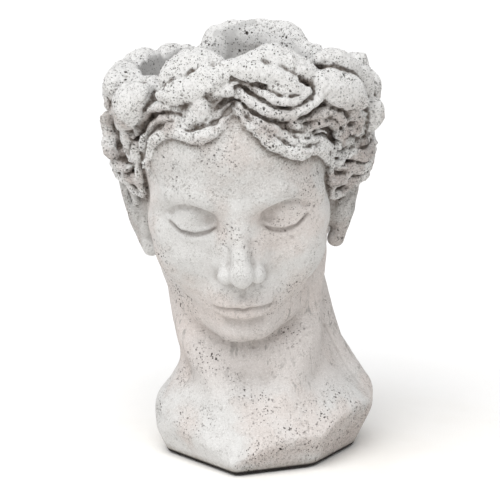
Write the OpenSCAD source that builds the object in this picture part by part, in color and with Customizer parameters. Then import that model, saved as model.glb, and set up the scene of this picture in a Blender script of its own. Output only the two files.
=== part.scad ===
// Classical head planter in cast stone: one hollow casting of head, neck and cut base, with its top
// open for plants, a rubber stopper in the drain hole and four felt pads under the base.
// Millimetres. +Z is up, the face looks towards -Y, and the origin is on the floor, under the middle
// of the part.

/* [Casting] */
// Height from the floor to the top of the hair knot
total_h = 297; // [285:1:309]
// Forward tilt of the head, in degrees
head_pitch = 14; // [11:1:17]
// Sideways lean of the head, in degrees
head_roll = 3; // [1:0.5:5]
// How much lower the base's lower edge is cut in than its widest line, per unit of height
base_slope = 0.45; // [0.3:0.05:0.6]

/* [Planter cavity] */
// Radius of the cavity at its mouth
mouth_r = 70; // [66:0.5:71]
// Radius of the cavity just above its floor
floor_r = 21; // [19:0.5:23]
// Thickness of the stone under the cavity
floor_t = 28; // [22:1:34]

/* [Drain] */
// Diameter of the drain hole
drain_d = 16; // [12:0.5:18]
// Radial gap between the stopper's shank and the hole
stopper_gap = 0.1; // [0.05:0.01:0.1]
// Diameter of the stopper's flange, which lies on the cavity's floor
flange_d = 27; // [24:0.5:30]
// Thickness of the stopper's flange
flange_t = 3; // [2:0.5:4]
// Length of the stopper's shank below its flange
shank_l = 16; // [10:1:18]

/* [Pads] */
// Diameter of each felt pad
pad_d = 20; // [14:1:22]
// Thickness of each felt pad
pad_t = 1.2; // [1:0.1:2]

/* [Hidden] */

// The design was drawn 297 tall, and u carries it to the height asked for.
drawn_h = 297;
u = total_h / drawn_h;
// The upright line through the cavity and the drain hole
axis = u * [0, 6];
// The point midway between the ears at the level of the eyes
head_at = u * [-3, 3, 200];

// ---- Forms: each is [centre, radii, turn], an ellipsoid turned about Z by turn degrees ----

// The head's own forms, in the head's frame: x to its left ear, -y ahead, z up, eyes at z = 0
function both_sides(f) = [f, [[-f[0].x, f[0].y, f[0].z], f[1], -f[2]]];
HEAD_FORMS = concat(
    [
        [[0, 0, 25], [67, 86, 77], 0],     // skull
        [[0, -28, -22], [62, 57, 74], 0],  // face
        [[0, -46, -74], [38, 37, 27], 0],  // jaw
        [[0, -66, -87], [20, 18, 15], 0],  // chin
        [[0, -62, -60], [29, 25, 27], 0]   // mouth
    ],
    both_sides([[30, -26, -70], [23, 42, 23], -20]),  // sides of the jaw
    both_sides([[36, -45, -20], [27, 27, 28], 0]),    // cheeks
    both_sides([[71, 15, -20], [8, 14, 27], 14])      // ears
);

// The hair's mass, in the part's frame
HAIR_FORMS = [
    [[0, 2, 262], [88, 82, 80], 0],   // wreath of locks round the rim
    [[0, 22, 216], [84, 66, 50], 0],  // over the ears and behind
    [[2, 42, 152], [58, 36, 50], 0]   // nape
];

// Sections of the neck and shoulders: height, centre x and y, half width and half depth
NECK = [
    [0, 18, -2, 88, 84], [20, 17, 1, 80, 73], [38, 16, 4, 75, 63], [50, 14, 6, 64, 55],
    [60, 12, 9, 56.5, 48], [72, 9, 11, 53, 44], [85, 6, 12, 51.5, 42], [105, 3, 14, 51, 42],
    [140, 0, 18, 53, 46], [175, 0, 20, 61, 50], [300, 0, 20, 20, 20]
];
// The corners of the base on the floor, anticlockwise from the front one
BASE = [[-4, -73], [49, -52], [80, 0], [74, 44], [38, 68], [-14, 66], [-48, 34], [-52, -16]];

// ---- The outer skin: how far it lies from the axis along a ray from o towards d ----

// The far side of form f. A ray that passes beside f stops short, the more so the wider it passes.
miss_cost = 2.5;
function turned(v, a) = [v.x * cos(a) + v.y * sin(a), v.y * cos(a) - v.x * sin(a), v.z];
function over(v, size) = [v.x / size.x, v.y / size.y, v.z / size.z];
function reach(f, o, d) =
    let (
        p = over(turned(o - f[0], f[2]), f[1]),
        q = over(turned(d, f[2]), f[1]),
        qq = q * q,
        h = ((p * q) ^ 2 - qq * (p * p - 1)) / qq ^ 2
    )
    max(0, -p * q / qq + (h > 0 ? sqrt(h) : -miss_cost * sqrt(-h)));

// The largest of a list, rounded over where two are close
blend = 2.4;
function sum(v) = v * [for (x = v) 1];
function soft_max(v) = blend * ln(sum([for (x = v) exp(x / blend)]));
function soft_min(v) = -soft_max([for (x = v) -x]);

function to_head(v) =
    let (
        x = v.x * cos(head_roll) + v.z * sin(head_roll),
        z = v.z * cos(head_roll) - v.x * sin(head_roll)
    )
    [
        x,
        v.y * cos(head_pitch) + z * sin(head_pitch),
        z * cos(head_pitch) - v.y * sin(head_pitch)
    ];

// The neck's section at height z, between the two given sections round it
function neck_at(z, i = 0) =
    i >= len(NECK) - 2 || z <= NECK[i + 1][0]
        ? let (s = (z - NECK[i][0]) / (NECK[i + 1][0] - NECK[i][0]))
          NECK[i] + max(0, min(1, s)) * (NECK[i + 1] - NECK[i])
        : neck_at(z, i + 1);
function neck_reach(o, d, guess = 50, turns = 4) =
    let (
        n = neck_at(o.z + guess * d.z),
        flat = [d.x, d.y, 0],
        far = reach([[n[1], n[2], o.z], [n[3], n[4], 1], 0], o, flat)
    )
    turns == 0 ? far : neck_reach(o, d, far, turns - 1);

// The base's flat cuts: each edge of BASE leans outwards as it rises
function base_reach(o, d) = soft_min([
    for (i = [0:len(BASE) - 1])
        let (
            a = BASE[i],
            b = BASE[(i + 1) % len(BASE)],
            out = [b.y - a.y, a.x - b.x] / norm(b - a),
            towards = out * [d.x, d.y] - base_slope * d.z
        )
        if (towards > 0.1) (out * (a - [o.x, o.y]) + base_slope * o.z) / towards
]);

// ---- Relief on the face, in the head's frame ----

// The nose's height above the face, and its half width, at heights in the head's frame
NOSE_OUT = [
    [-50, 0], [-47, 4], [-44, 15], [-40, 20], [-36, 21], [-30, 19], [-20, 15], [-10, 11],
    [0, 7.5], [10, 4.5], [20, 1.5], [30, 0]
];
NOSE_HALF = [[-42, 11], [-34, 9.5], [-26, 7.5], [-8, 6.5], [8, 8], [20, 12]];
function nose(p) =
    lookup(p.z, NOSE_OUT) * exp(-abs(p.x / lookup(p.z, NOSE_HALF)) ^ 2.2);

// Hollows and swellings, as [x, z, height, spread x, spread z]; those off the middle come in pairs
eye_x = 30;
RELIEF_MIDDLE = [
    [0, -58.5, 2.2, 13, 3.2], [0, -69.5, 3, 11, 3.6],  // lips
    [0, -64, -2.6, 19, 1.8], [0, -78, -3, 14, 4.5],    // mouth line and the hollow under the lip
    [0, -52, -1.2, 3.5, 5]                             // groove under the nose
];
RELIEF_PAIRS = [
    [eye_x, 2, -10, 15, 10],                           // eye socket
    [eye_x, -2, 9, 11.5, 7.5],                         // lowered lids
    [eye_x, -9, -2.5, 12, 2.4],                        // lash line
    [16, 15, 1.5, 12, 5], [33, 17, 2, 14, 5],          // brow
    [13, -39, 5.5, 5, 6], [24, -62, -2, 4, 6]          // wing of the nose, corner of the mouth
];
function swell(p, x, r) =
    r[2] * exp(-((p.x - x) / r[3]) ^ 2 - ((p.z - r[1]) / r[4]) ^ 2);
face_back = -10;
face_top = 60;
function face_relief(p) = p.y > face_back || p.z > face_top ? 0
    : nose(p) + sum([for (r = RELIEF_MIDDLE) swell(p, r[0], r)])
        + sum([for (r = RELIEF_PAIRS) swell(p, r[0], r) + swell(p, -r[0], r)]);

// ---- Relief of the hair, in the part's frame ----

// A turn's distance from another, between -180 and 180
function apart(a, b) = (a - b + 900) % 360 - 180;
parting_turn = -94;

// Big overlapping locks, shaped like leaves, in two staggered rows round the rim
rim_locks = 13;
lock_lean = 20;
lock_reach = 24;
front_lift = 12;
RIM_LOCKS = [for (row = [0, 1], i = [0:rim_locks - 1])
    [
        parting_turn + (i + 0.5 * row + 0.5) * 360 / rim_locks,
        [242, 264][row] + 2.5 * (i % 3),
        [20, 23][row],
        [14, 18][row],
        [11, 13][row]
    ]];
function rim_lock(p, turn, k) =
    let (
        off = apart(turn, k[0]),
        way = apart(k[0], parting_turn) > 0 ? -1 : 1,
        along = off * 1.5,
        up = p.z - k[1] - front_lift * max(0, cos(k[0] + 90)),
        a = along * cos(lock_lean) + way * up * sin(lock_lean),
        b = up * cos(lock_lean) - way * along * sin(lock_lean)
    )
    k[4] * max(0, 1 - (a / k[2]) ^ 2 - (b / k[3]) ^ 2) ^ 0.7;

// Waves that run from the parting along the hairline, over the ears and on to the nape
HAIRLINE = [[0, 258], [12, 242], [25, 228], [42, 215], [56, 200], [76, 188], [98, 200],
    [112, 168], [130, 132], [180, 122]];
wave_pitch = 18;
wave_h = 2.4;
hair_rise = 4;
function wave_relief(p, turn) =
    let (
        side = abs(apart(turn, parting_turn)),
        up = p.z - lookup(side, HAIRLINE)
    )
    up < 0 ? 0
    : min(1, up / 8) * (hair_rise
        + wave_h * cos(360 * (up + 2.5 * sin(side * 6)) / wave_pitch - 130));

// The knot of hair at the back
knot_turn = 81;
knot_half_turn = 27;
knot_out = 9;
knot_z = 284;
knot_half_h = 26;
function knot_relief(p, turn) =
    knot_out * sqrt(max(0, 1 - (apart(turn, knot_turn) / (knot_half_turn + 3)) ^ 2
        - ((p.z - knot_z) / knot_half_h) ^ 2));

nape_z = 118;
function hair_relief(p) =
    let (turn = atan2(p.y - axis.y / u, p.x - axis.x / u))
    p.z < nape_z ? 0
    : max(concat(
        [wave_relief(p, turn), knot_relief(p, turn)],
        [for (k = RIM_LOCKS) if (abs(apart(turn, k[0])) < lock_reach) rim_lock(p, turn, k)]
    ));

function skin_reach(o, d) =
    let (
        ho = to_head(o - head_at / u),
        hd = to_head(d),
        body = soft_max(concat(
            [for (f = HEAD_FORMS) reach(f, ho, hd)],
            [for (f = HAIR_FORMS) reach(f, o, d)],
            [neck_reach(o, d)]
        ))
    )
    min(body + face_relief(ho + body * hd) + hair_relief(o + body * d), base_reach(o, d));

// ---- The skin as rings of points ----

// Turns, closer together across the face
face_columns = 38;
back_columns = 36;
face_from = -148;
face_to = -36;
TURNS = concat(
    [for (i = [0:face_columns - 1]) face_from + i * (face_to - face_from) / face_columns],
    [for (i = [0:back_columns - 1]) face_to + i * (360 + face_from - face_to) / back_columns]
);

// Starting heights as shares of the way up to the rim, closer together on the face
base_rings = 15;
face_rings = 40;
hair_rings = 13;
chin_share = 0.44;
brow_share = 0.86;
SHARES = concat(
    [for (i = [0:base_rings - 1]) chin_share * i / base_rings],
    [for (i = [0:face_rings - 1]) chin_share + (brow_share - chin_share) * i / face_rings],
    [for (i = [0:hair_rings]) brow_share + (1 - brow_share) * i / hair_rings]
);
// How steeply the rays droop at each starting height, so that they reach under the jaw and nose
DROOP = [[0, 0], [4, 0], [60, 3], [105, 23], [156, 28], [200, 24], [240, 12], [266, 0]];

// The rim is scalloped by the upper row of locks, highest over the face and at the knot.
side_rim_z = 268;
front_rise = 19;
back_rise = 9;
knot_rise = 20;
scallop = 3;
function rim_at(turn) =
    let (knot = 1 / (1 + (apart(turn, knot_turn) / knot_half_turn) ^ 6))
    side_rim_z + front_rise * max(0, cos(turn + 90)) ^ 1.5 + back_rise * max(0, cos(turn - 90))
        + knot_rise * knot + scallop * (1 - knot) * cos(apart(turn, parting_turn) * rim_locks);

function skin_point(share, turn) =
    let (
        z = pad_t / u + share * (rim_at(turn) - pad_t / u),
        droop = lookup(z, DROOP),
        o = [axis.x / u, axis.y / u, z],
        d = [cos(turn) * cos(droop), sin(turn) * cos(droop), -sin(droop)]
    )
    o + skin_reach(o, d) * d;

// A closed solid from rings of equal length, with a point in the middle of each end
module ringed(rings, low, high) {
    n = len(rings[0]);
    last = len(rings) - 1;
    points = concat([for (r = rings) each r], [low, high]);
    walls = [
        for (i = [0:last - 1], j = [0:n - 1])
            let (a = i * n + j, b = i * n + (j + 1) % n)
            each [[a, a + n, b + n], [a, b + n, b]]
    ];
    bottom = [for (j = [0:n - 1]) [len(points) - 2, j, (j + 1) % n]];
    top = [for (j = [0:n - 1]) [len(points) - 1, last * n + (j + 1) % n, last * n + j]];
    polyhedron(points = points, faces = concat(walls, bottom, top), convexity = 10);
}

module outer_form() {
    rings = [for (s = SHARES) [for (t = TURNS) u * skin_point(s, t)]];
    ringed(rings, [axis.x, axis.y, pad_t], [axis.x, axis.y, u * side_rim_z]);
}

// ---- The cavity: a tapered bucket that the mould's core leaves as it draws upwards ----

cavity_floor = pad_t + floor_t;
floor_round = 6;
// Heights of the cavity's side as shares of the way up, and radii as shares of the way out
CAVITY_SIDE = [[0.25, 0.18], [0.45, 0.37], [0.6, 0.54], [0.72, 0.73], [0.86, 0.9], [1, 1]];
module cavity() {
    above = total_h + 10;
    depth = u * side_rim_z - cavity_floor;
    side = [for (s = CAVITY_SIDE)
        [floor_r + s[1] * (mouth_r - floor_r), cavity_floor + s[0] * depth]];
    corner = [for (a = [0:15:90])
        [
            floor_r - floor_round + floor_round * sin(a),
            cavity_floor + floor_round * (1 - cos(a))
        ]];
    translate([axis.x, axis.y, 0])
        rotate_extrude($fn = 96)
            polygon(concat([[0, cavity_floor]], corner, side, [[mouth_r + 2, above], [0, above]]));
}

module cast_head() {
    color([0.86, 0.86, 0.85])
        difference() {
            outer_form();
            cavity();
            translate([axis.x, axis.y, -1])
                cylinder(h = cavity_floor + 2, d = drain_d, $fn = 64);
        }
}

// ---- The stopper: a flange on the cavity's floor, a shank in the hole and a tab to pull ----

tab_w = 10;
tab_t = 3;
tab_h = 9;
lead_in = 1.5;
module drain_stopper() {
    shank_r = drain_d / 2 - stopper_gap;
    color([0.13, 0.13, 0.13])
        translate([axis.x, axis.y, cavity_floor]) {
            rotate_extrude($fn = 64)
                polygon([
                    [0, -shank_l], [shank_r - lead_in, -shank_l], [shank_r, lead_in - shank_l],
                    [shank_r, 0], [flange_d / 2, 0], [flange_d / 2, flange_t - 1],
                    [flange_d / 2 - 1, flange_t], [0, flange_t]
                ]);
            translate([-tab_w / 2, -tab_t / 2, flange_t])
                cube([tab_w, tab_t, tab_h - tab_w / 2]);
            translate([0, tab_t / 2, flange_t + tab_h - tab_w / 2])
                rotate([90, 0, 0])
                    cylinder(h = tab_t, d = tab_w, $fn = 48);
        }
}

// ---- The felt pads, glued under the base ----

module felt_pad(at) {
    color([0.62, 0.58, 0.52])
        translate([u * at.x, u * at.y, 0])
            cylinder(h = pad_t, d = pad_d, $fn = 48);
}

cast_head();
drain_stopper();
felt_pad([3, -48]);  // felt_pad_front
felt_pad([58, 6]);  // felt_pad_right
felt_pad([14, 50]);  // felt_pad_back
felt_pad([-34, 4]);  // felt_pad_left
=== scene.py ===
"""A classical head planter in whitewashed cast stone, with its drain stopper and felt pads.

The casting is built up like clay: volumes are added, cut and brushed on a grid of distances, and
the grid is turned into one mesh. Lengths are in drawn millimetres, and UNIT turns them to metres
from the CAD casting's height. The face is a generic one on textbook proportions.
"""
import itertools
import math

import bpy
import numpy as np
import openvdb
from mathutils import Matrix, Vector


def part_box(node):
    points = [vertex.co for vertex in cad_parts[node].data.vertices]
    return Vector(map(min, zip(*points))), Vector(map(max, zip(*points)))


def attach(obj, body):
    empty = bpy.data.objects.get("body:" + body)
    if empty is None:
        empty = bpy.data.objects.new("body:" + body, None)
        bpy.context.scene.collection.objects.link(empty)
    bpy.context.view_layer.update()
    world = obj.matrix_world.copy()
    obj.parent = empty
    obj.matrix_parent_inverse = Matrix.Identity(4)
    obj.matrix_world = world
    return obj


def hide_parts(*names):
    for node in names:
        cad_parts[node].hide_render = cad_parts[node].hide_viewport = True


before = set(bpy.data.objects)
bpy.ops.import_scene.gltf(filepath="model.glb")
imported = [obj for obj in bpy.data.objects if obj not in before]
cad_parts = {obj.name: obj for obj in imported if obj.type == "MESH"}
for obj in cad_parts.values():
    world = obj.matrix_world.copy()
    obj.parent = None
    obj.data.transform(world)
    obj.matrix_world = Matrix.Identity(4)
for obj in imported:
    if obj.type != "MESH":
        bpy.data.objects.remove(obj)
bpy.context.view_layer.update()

# ---- sizes, from the frame
CAST_LOW, CAST_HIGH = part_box("cast_head")
PLUG_LOW, PLUG_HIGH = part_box("drain_stopper")
PADS = [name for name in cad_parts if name.startswith("felt_pad")]
DRAWN_TOP = 297.0
UNIT = CAST_HIGH[2] / DRAWN_TOP
BASE_Z = CAST_LOW[2] / UNIT
AXIS = np.array([(PLUG_LOW[i] + PLUG_HIGH[i]) / 2 / UNIT for i in (0, 1)])
# The stopper hangs by its flange, which is 12 below its top, on the cavity's floor.
PLUG_TAB = 12.0
FLOOR_Z = PLUG_HIGH[2] / UNIT - PLUG_TAB
DRAIN_R = 8.0

STEP = 0.9
rng = np.random.default_rng(7)


def from_axis(x, y):
    return np.hypot(x - AXIS[0], y - AXIS[1])


def round_axis(turn, r, z):
    """The place at a turn round the axis, in degrees, a distance from it and a height."""
    a = math.radians(turn)
    return np.array([AXIS[0] + r * math.cos(a), AXIS[1] + r * math.sin(a), z])


def dot(place, way):
    return place[0] * way[0] + place[1] * way[1] + place[2] * way[2]


# ---- clay
def smooth_min(a, b, k):
    """The smaller of a and b, with a fillet of about k where they are close."""
    h = np.maximum(k - np.abs(a - b), 0.0) / k
    return np.minimum(a, b) - h * h * k * 0.25


def unit(v):
    return v / np.linalg.norm(v, axis=-1, keepdims=True)


class Pose:
    """A frame at an origin in the row's frame, pitched about X and rolled about Y."""

    def __init__(self, origin, pitch=0.0, roll=0.0):
        self.origin = np.array(origin, float)
        p, r = math.radians(pitch), math.radians(roll)
        lean = np.array([[math.cos(r), 0, -math.sin(r)], [0, 1, 0], [math.sin(r), 0, math.cos(r)]])
        tilt = np.array([[1, 0, 0], [0, math.cos(p), -math.sin(p)], [0, math.sin(p), math.cos(p)]])
        self.turn = lean @ tilt

    def to_row(self, point):
        return self.turn @ np.array(point, float) + self.origin

    def to_own(self, x, y, z):
        place = (x - self.origin[0], y - self.origin[1], z - self.origin[2])
        return tuple(dot(place, self.turn[:, i]) for i in range(3))


ROW = Pose((0, 0, 0))
HEAD = Pose((-3, 3, 200), pitch=14, roll=3)


class Clay:
    """Distances to a surface on a grid, negative inside it."""

    FAR = 18.0
    # depth behind a lock's middle counts only this much, so that nothing gapes under it
    BACK = 0.35

    def __init__(self, low, high, step):
        self.low = np.array(low, float)
        self.step = step
        self.count = np.ceil((np.array(high) - self.low) / step).astype(int) + 1
        self.axes = [
            (self.low[i] + step * np.arange(self.count[i])).astype(np.float32) for i in range(3)
        ]
        self.d = np.full(self.count, self.FAR, np.float32)

    def between(self, low, high):
        """The part of the grid in a box, as slices and coordinates."""
        lo = np.clip(((low - self.low) / self.step).astype(int), 0, self.count)
        hi = np.clip(((high - self.low) / self.step).astype(int) + 2, 0, self.count)
        part = tuple(slice(lo[i], hi[i]) for i in range(3))
        x, y, z = (self.axes[i][part[i]] for i in range(3))
        return part, (x[:, None, None], y[None, :, None], z[None, None, :])

    def forms(self, shape, k, pose):
        """The grid near a shape, or near each of a list of them, and its distances to it."""
        for centre, reach, distance in shape if isinstance(shape, list) else [shape]:
            around = pose.to_row(centre)
            pad = (np.array(reach, float) if pose is ROW else np.max(reach)) + max(4.0, 1.2 * k)
            part, own = self.between(around - pad, around + pad)
            if pose is not ROW:
                own = pose.to_own(*own)
            yield part, distance(*own).astype(np.float32)

    def add(self, shape, k=2.0, pose=ROW):
        for part, d in self.forms(shape, k, pose):
            self.d[part] = smooth_min(self.d[part], d, k)

    def cut(self, shape, k=2.0, pose=ROW):
        for part, d in self.forms(shape, k, pose):
            self.keep(part, -d, k)

    def keep(self, part, d, k):
        """Keeps only what is inside d too, in that part of the grid."""
        self.d[part] = -smooth_min(-self.d[part], -d.astype(np.float32), k)

    def swell(self, centre, size, height, pose=ROW):
        """A soft brush: raises the surface round centre, or lowers it if height is negative."""
        around = pose.to_row(centre)
        part, (x, y, z) = self.between(around - 2.3 * max(size), around + 2.3 * max(size))
        if pose is not ROW:
            x, y, z = pose.to_own(x, y, z)
        q = sum(((v - c) / s) ** 2 for v, c, s in zip((x, y, z), centre, size))
        self.d[part] -= (height * np.exp(-q)).astype(np.float32)

    def ribbon(self, points, outward, wide, thick, strands, groove, k, crest, trench):
        """A leaf or lock: a flattened bar along points, with grooves between its strands.

        A crest of 2 gives a round section, and a smaller one a ridge. A trench is cut round it
        first, except where it grows from the ground.
        """
        pad = max(wide.max(), thick.max()) + k + 3
        part, (x, y, z) = self.between(points.min(0) - pad, points.max(0) + pad)
        field = np.full((x.size, y.size, z.size), 9.0, np.float32)
        ditch = field.copy()
        for i in range(len(points) - 1):
            a, b = points[i], points[i + 1]
            run = b - a
            along = run / np.linalg.norm(run)
            up = unit(outward[i] - along * (outward[i] @ along))
            across = np.cross(along, up)
            r = max(wide[i:i + 2].max(), thick[i:i + 2].max()) + k + 2
            near = tuple(
                slice(*np.searchsorted(v.ravel(), (min(a[j], b[j]) - r, max(a[j], b[j]) + r)))
                for j, v in enumerate((x, y, z))
            )
            off = (x[near[0]] - a[0], y[:, near[1]] - a[1], z[:, :, near[2]] - a[2])
            t = np.clip(dot(off, run) / (run @ run), 0, 1)
            off = [v - t * step for v, step in zip(off, run)]
            w = wide[i] + (wide[i + 1] - wide[i]) * t
            h = thick[i] + (thick[i + 1] - thick[i]) * t
            side = dot(off, across) / w
            rise = dot(off, up) / h
            rise = np.where(rise < 0, self.BACK * rise, rise)
            end = dot(off, along) / h
            d = sum(np.abs(v) ** crest for v in (side, rise, end)) ** (1 / crest)
            d = (d - 1) * np.minimum(w, h)
            if strands:
                d += groove * (0.5 - 0.5 * np.cos(math.pi * strands * side))
            field[near] = np.minimum(field[near], d)
            if trench:
                d = np.maximum(d - trench, (0.1 - rise) * h)
                ditch[near] = np.minimum(ditch[near], d)
        if trench:
            self.keep(part, -ditch, 1.0)
        self.d[part] = smooth_min(self.d[part], field, k)

    def mesh(self):
        """Points and quads of the surface."""
        grid = openvdb.FloatGrid(3.0)
        grid.copyFromArray(np.clip(self.d, -3, 3), tolerance=0.0)
        points, quads = grid.convertToQuads(isovalue=0.0)
        return points * self.step + self.low, quads[:, ::-1]

    def noise(self, cell, height):
        """Smooth random bumps, a cell apart."""
        weights = []
        for axis in self.axes:
            at = (axis - axis[0]) / cell
            i = at.astype(int)
            t = at - i
            t = t * t * (3 - 2 * t)
            w = np.zeros((len(axis), i.max() + 2), np.float32)
            w[np.arange(len(axis)), i] = 1 - t
            w[np.arange(len(axis)), i + 1] = t
            weights.append(w)
        lattice = rng.uniform(-1, 1, [w.shape[1] for w in weights]).astype(np.float32)
        for w in weights:
            lattice = np.tensordot(lattice, w, (0, 1))
        self.d += height * lattice

    def sample(self, field, points, stride=1):
        """A field's values at points, between its cells. The field may skip cells."""
        at = (points - self.low) / self.step / stride
        at = np.clip(at, 0, np.array(field.shape) - 1.001)
        cell = at.astype(int)
        t = at - cell
        total = np.zeros(len(points))
        for corner in itertools.product((0, 1), repeat=3):
            weight = np.where(corner, t, 1 - t).prod(1)
            i, j, k = (cell + corner).T
            total += weight * field[i, j, k]
        return total

    def merge(self, other, k):
        self.d = smooth_min(self.d, other.d, k)


# ---- shapes: (centre, reach, distance)
def ellipsoid(centre, radii, turn=0.0):
    """Radii along x, y and z, turned about z by turn degrees."""
    cx, cy, cz = centre
    rx, ry, rz = radii
    c, s = math.cos(math.radians(turn)), math.sin(math.radians(turn))

    def distance(x, y, z):
        x, y, z = x - cx, y - cy, z - cz
        x, y = x * c + y * s, y * c - x * s
        k0 = np.sqrt((x / rx) ** 2 + (y / ry) ** 2 + (z / rz) ** 2)
        k1 = np.sqrt((x / rx ** 2) ** 2 + (y / ry ** 2) ** 2 + (z / rz ** 2) ** 2)
        return k0 * (k0 - 1) / np.maximum(k1, 1e-6)

    wide = max(rx, ry)
    return np.array(centre, float), (wide, wide, rz), distance


def bar(points, radii):
    """A chain of round bars through points, with a radius at each or one for all."""
    points = np.array(points, float)
    radii = np.broadcast_to(np.array(radii, float), len(points))

    def distance(x, y, z):
        best = None
        for a, b, ra, rb in zip(points, points[1:], radii, radii[1:]):
            run = b - a
            off = (x - a[0], y - a[1], z - a[2])
            t = np.clip(dot(off, run) / (run @ run), 0, 1)
            off = [v - t * step for v, step in zip(off, run)]
            d = np.sqrt(dot(off, off)) - (ra + (rb - ra) * t)
            best = d if best is None else np.minimum(best, d)
        return best

    low, high = points.min(0), points.max(0)
    return (low + high) / 2, np.full(3, np.linalg.norm(high - low) / 2 + radii.max()), distance


def both(shape_maker, place, radii, **more):
    """A list of the shape and its mirror image in x, with its turn mirrored too.

    The place is its centre or its points.
    """
    place = np.array(place, float)
    turned = {key: -turn for key, turn in more.items()}
    return [shape_maker(place, radii, **more), shape_maker(place * (-1, 1, 1), radii, **turned)]


# ---- the head under its hair
def model_skull(clay):
    masses = [
        (ellipsoid((0, 4, 28), (66, 82, 75)), 4),
        (ellipsoid((0, -30, 28), (58, 52, 52)), 14),  # forehead
        (ellipsoid((0, 5, -16), (67, 46, 56)), 8),  # sides
        (ellipsoid((0, -29, -20), (57, 52, 66)), 16),  # face
        (ellipsoid((0, -34, -66), (38, 43, 28)), 16),  # floor of the jaw
        (ellipsoid((0, -58, -58), (27, 27, 24)), 14),  # mouth
        (ellipsoid((0, -67, -86), (16, 14, 13)), 12),  # chin
        (both(bar, [(46, 2, -48), (41, -18, -69), (25, -48, -86), (9, -62, -91)], 11), 12),  # jaw
        (both(ellipsoid, (34, -46, -33), (24, 27, 29)), 14),  # cheeks
        (both(ellipsoid, (43, -42, -14), (17, 22, 13)), 12),  # cheekbones
    ]
    for shape, k in masses:
        clay.add(shape, k, HEAD)


def under_jaw(clay):
    """The soft valley where the jaw's edge turns to the neck."""
    for side in (-1, 1):
        for x, y, z in through([(0, -40, 83), (24, -33, 90), (42, -14, 103), (52, 8, 119)], 4):
            clay.swell((side * x, y, z), (10, 10, 6), -0.9)


def on_face(clay, places, out, side=1, pose=HEAD):
    """Points on the front at (x, z) places in the pose's frame, moved out of it by out, and
    mirrored in x where side is -1.
    """
    y = np.arange(-125.0, 20.0, 0.2)
    found = []
    for x, z in places:
        own = np.stack([np.full(y.shape, side * x), y, np.full(y.shape, z)], 1)
        d = clay.sample(clay.d, own @ pose.turn.T + pose.origin)
        found.append((side * x, y[np.argmax(d < 0)] - out, z))
    return found


def stroke(clay, places, out, radii, side=1):
    """A bar on the face through (x, z) places."""
    return bar(on_face(clay, places, out, side), radii)


def model_eyes(clay):
    clay.cut(both(ellipsoid, (30, -84, -2), (19, 15.5, 12)), 11, HEAD)  # sockets
    brow = [(8, -77, 8), (18, -78, 13), (30, -74.5, 16.5), (43, -65, 13.5), (53, -52, 5)]
    clay.add(both(bar, brow, [4.2, 4.2, 4.2, 4.2, 4]), 13, HEAD)
    clay.add(both(ellipsoid, (30.5, -60, -4), (15.5, 14.2, 14)), 5, HEAD)  # lids over the eyes
    fold = [(17, 0.5), (23, 5.5), (31, 7.5), (40, 5.5), (46.5, -0.5)]
    opening = [(14.5, -8), (21, -11.5), (29.5, -13.5), (38, -11.5), (46, -6)]
    upper_lid = [(15, -6), (21, -9.2), (29.5, -11), (38, -9), (47, -3.8)]
    lower_lid = [(17.5, -11.5), (23, -15), (30, -16.8), (38, -15), (44, -10.5)]
    lines = []
    for side in (-1, 1):
        clay.cut(stroke(clay, fold, 0.6, [0.5, 0.9, 1, 0.9, 0.5], side), 4, HEAD)
        clay.add(stroke(clay, lower_lid, -1.2, [1, 1.5, 1.7, 1.5, 1], side), 5, HEAD)
        clay.add(stroke(clay, upper_lid, -0.6, [1, 1.6, 1.8, 1.7, 1.3], side), 2.5, HEAD)
        lines.append(on_face(clay, opening, -0.2, side))
        clay.cut(bar(lines[-1], [0.6, 1.2, 1.4, 1.3, 0.8]), 0.8, HEAD)
        clay.swell((side * 13, -74, -8), (3, 5, 3.5), -0.9, HEAD)  # tear ducts
        clay.swell((side * 27, -74, -24), (13, 12, 5), -1.0, HEAD)  # under the eyes
    return lines


def model_nose(clay):
    clay.add(bar([(0, -75, 13), (0, -78.5, 3), (0, -87, -16), (0, -94.5, -33)], [6, 5, 5.4, 6.4]),
             9, HEAD)
    clay.add(both(bar, [(5, -72, 2), (8, -76, -18), (10, -80, -34)], [4.5, 6, 7]), 9, HEAD)  # sides
    clay.add(ellipsoid((0, -95, -36.5), (8, 8.5, 7)), 5, HEAD)  # tip
    clay.add(both(ellipsoid, (11.2, -85.5, -39.5), (5.4, 8.2, 6), turn=-14), 3.5, HEAD)  # wings
    clay.add(bar([(0, -94, -42), (0, -83, -46)], [3.4, 3.2]), 3, HEAD)
    clay.cut(both(ellipsoid, (5.8, -89, -45.5), (2.9, 4.8, 2.6), turn=-22), 1.4, HEAD)  # nostrils
    crease = [(16, -33), (18, -38.5), (16.5, -44.5)]
    for side in (-1, 1):
        clay.cut(stroke(clay, crease, 1, [1, 1.5, 1.2], side), 4, HEAD)


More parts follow.
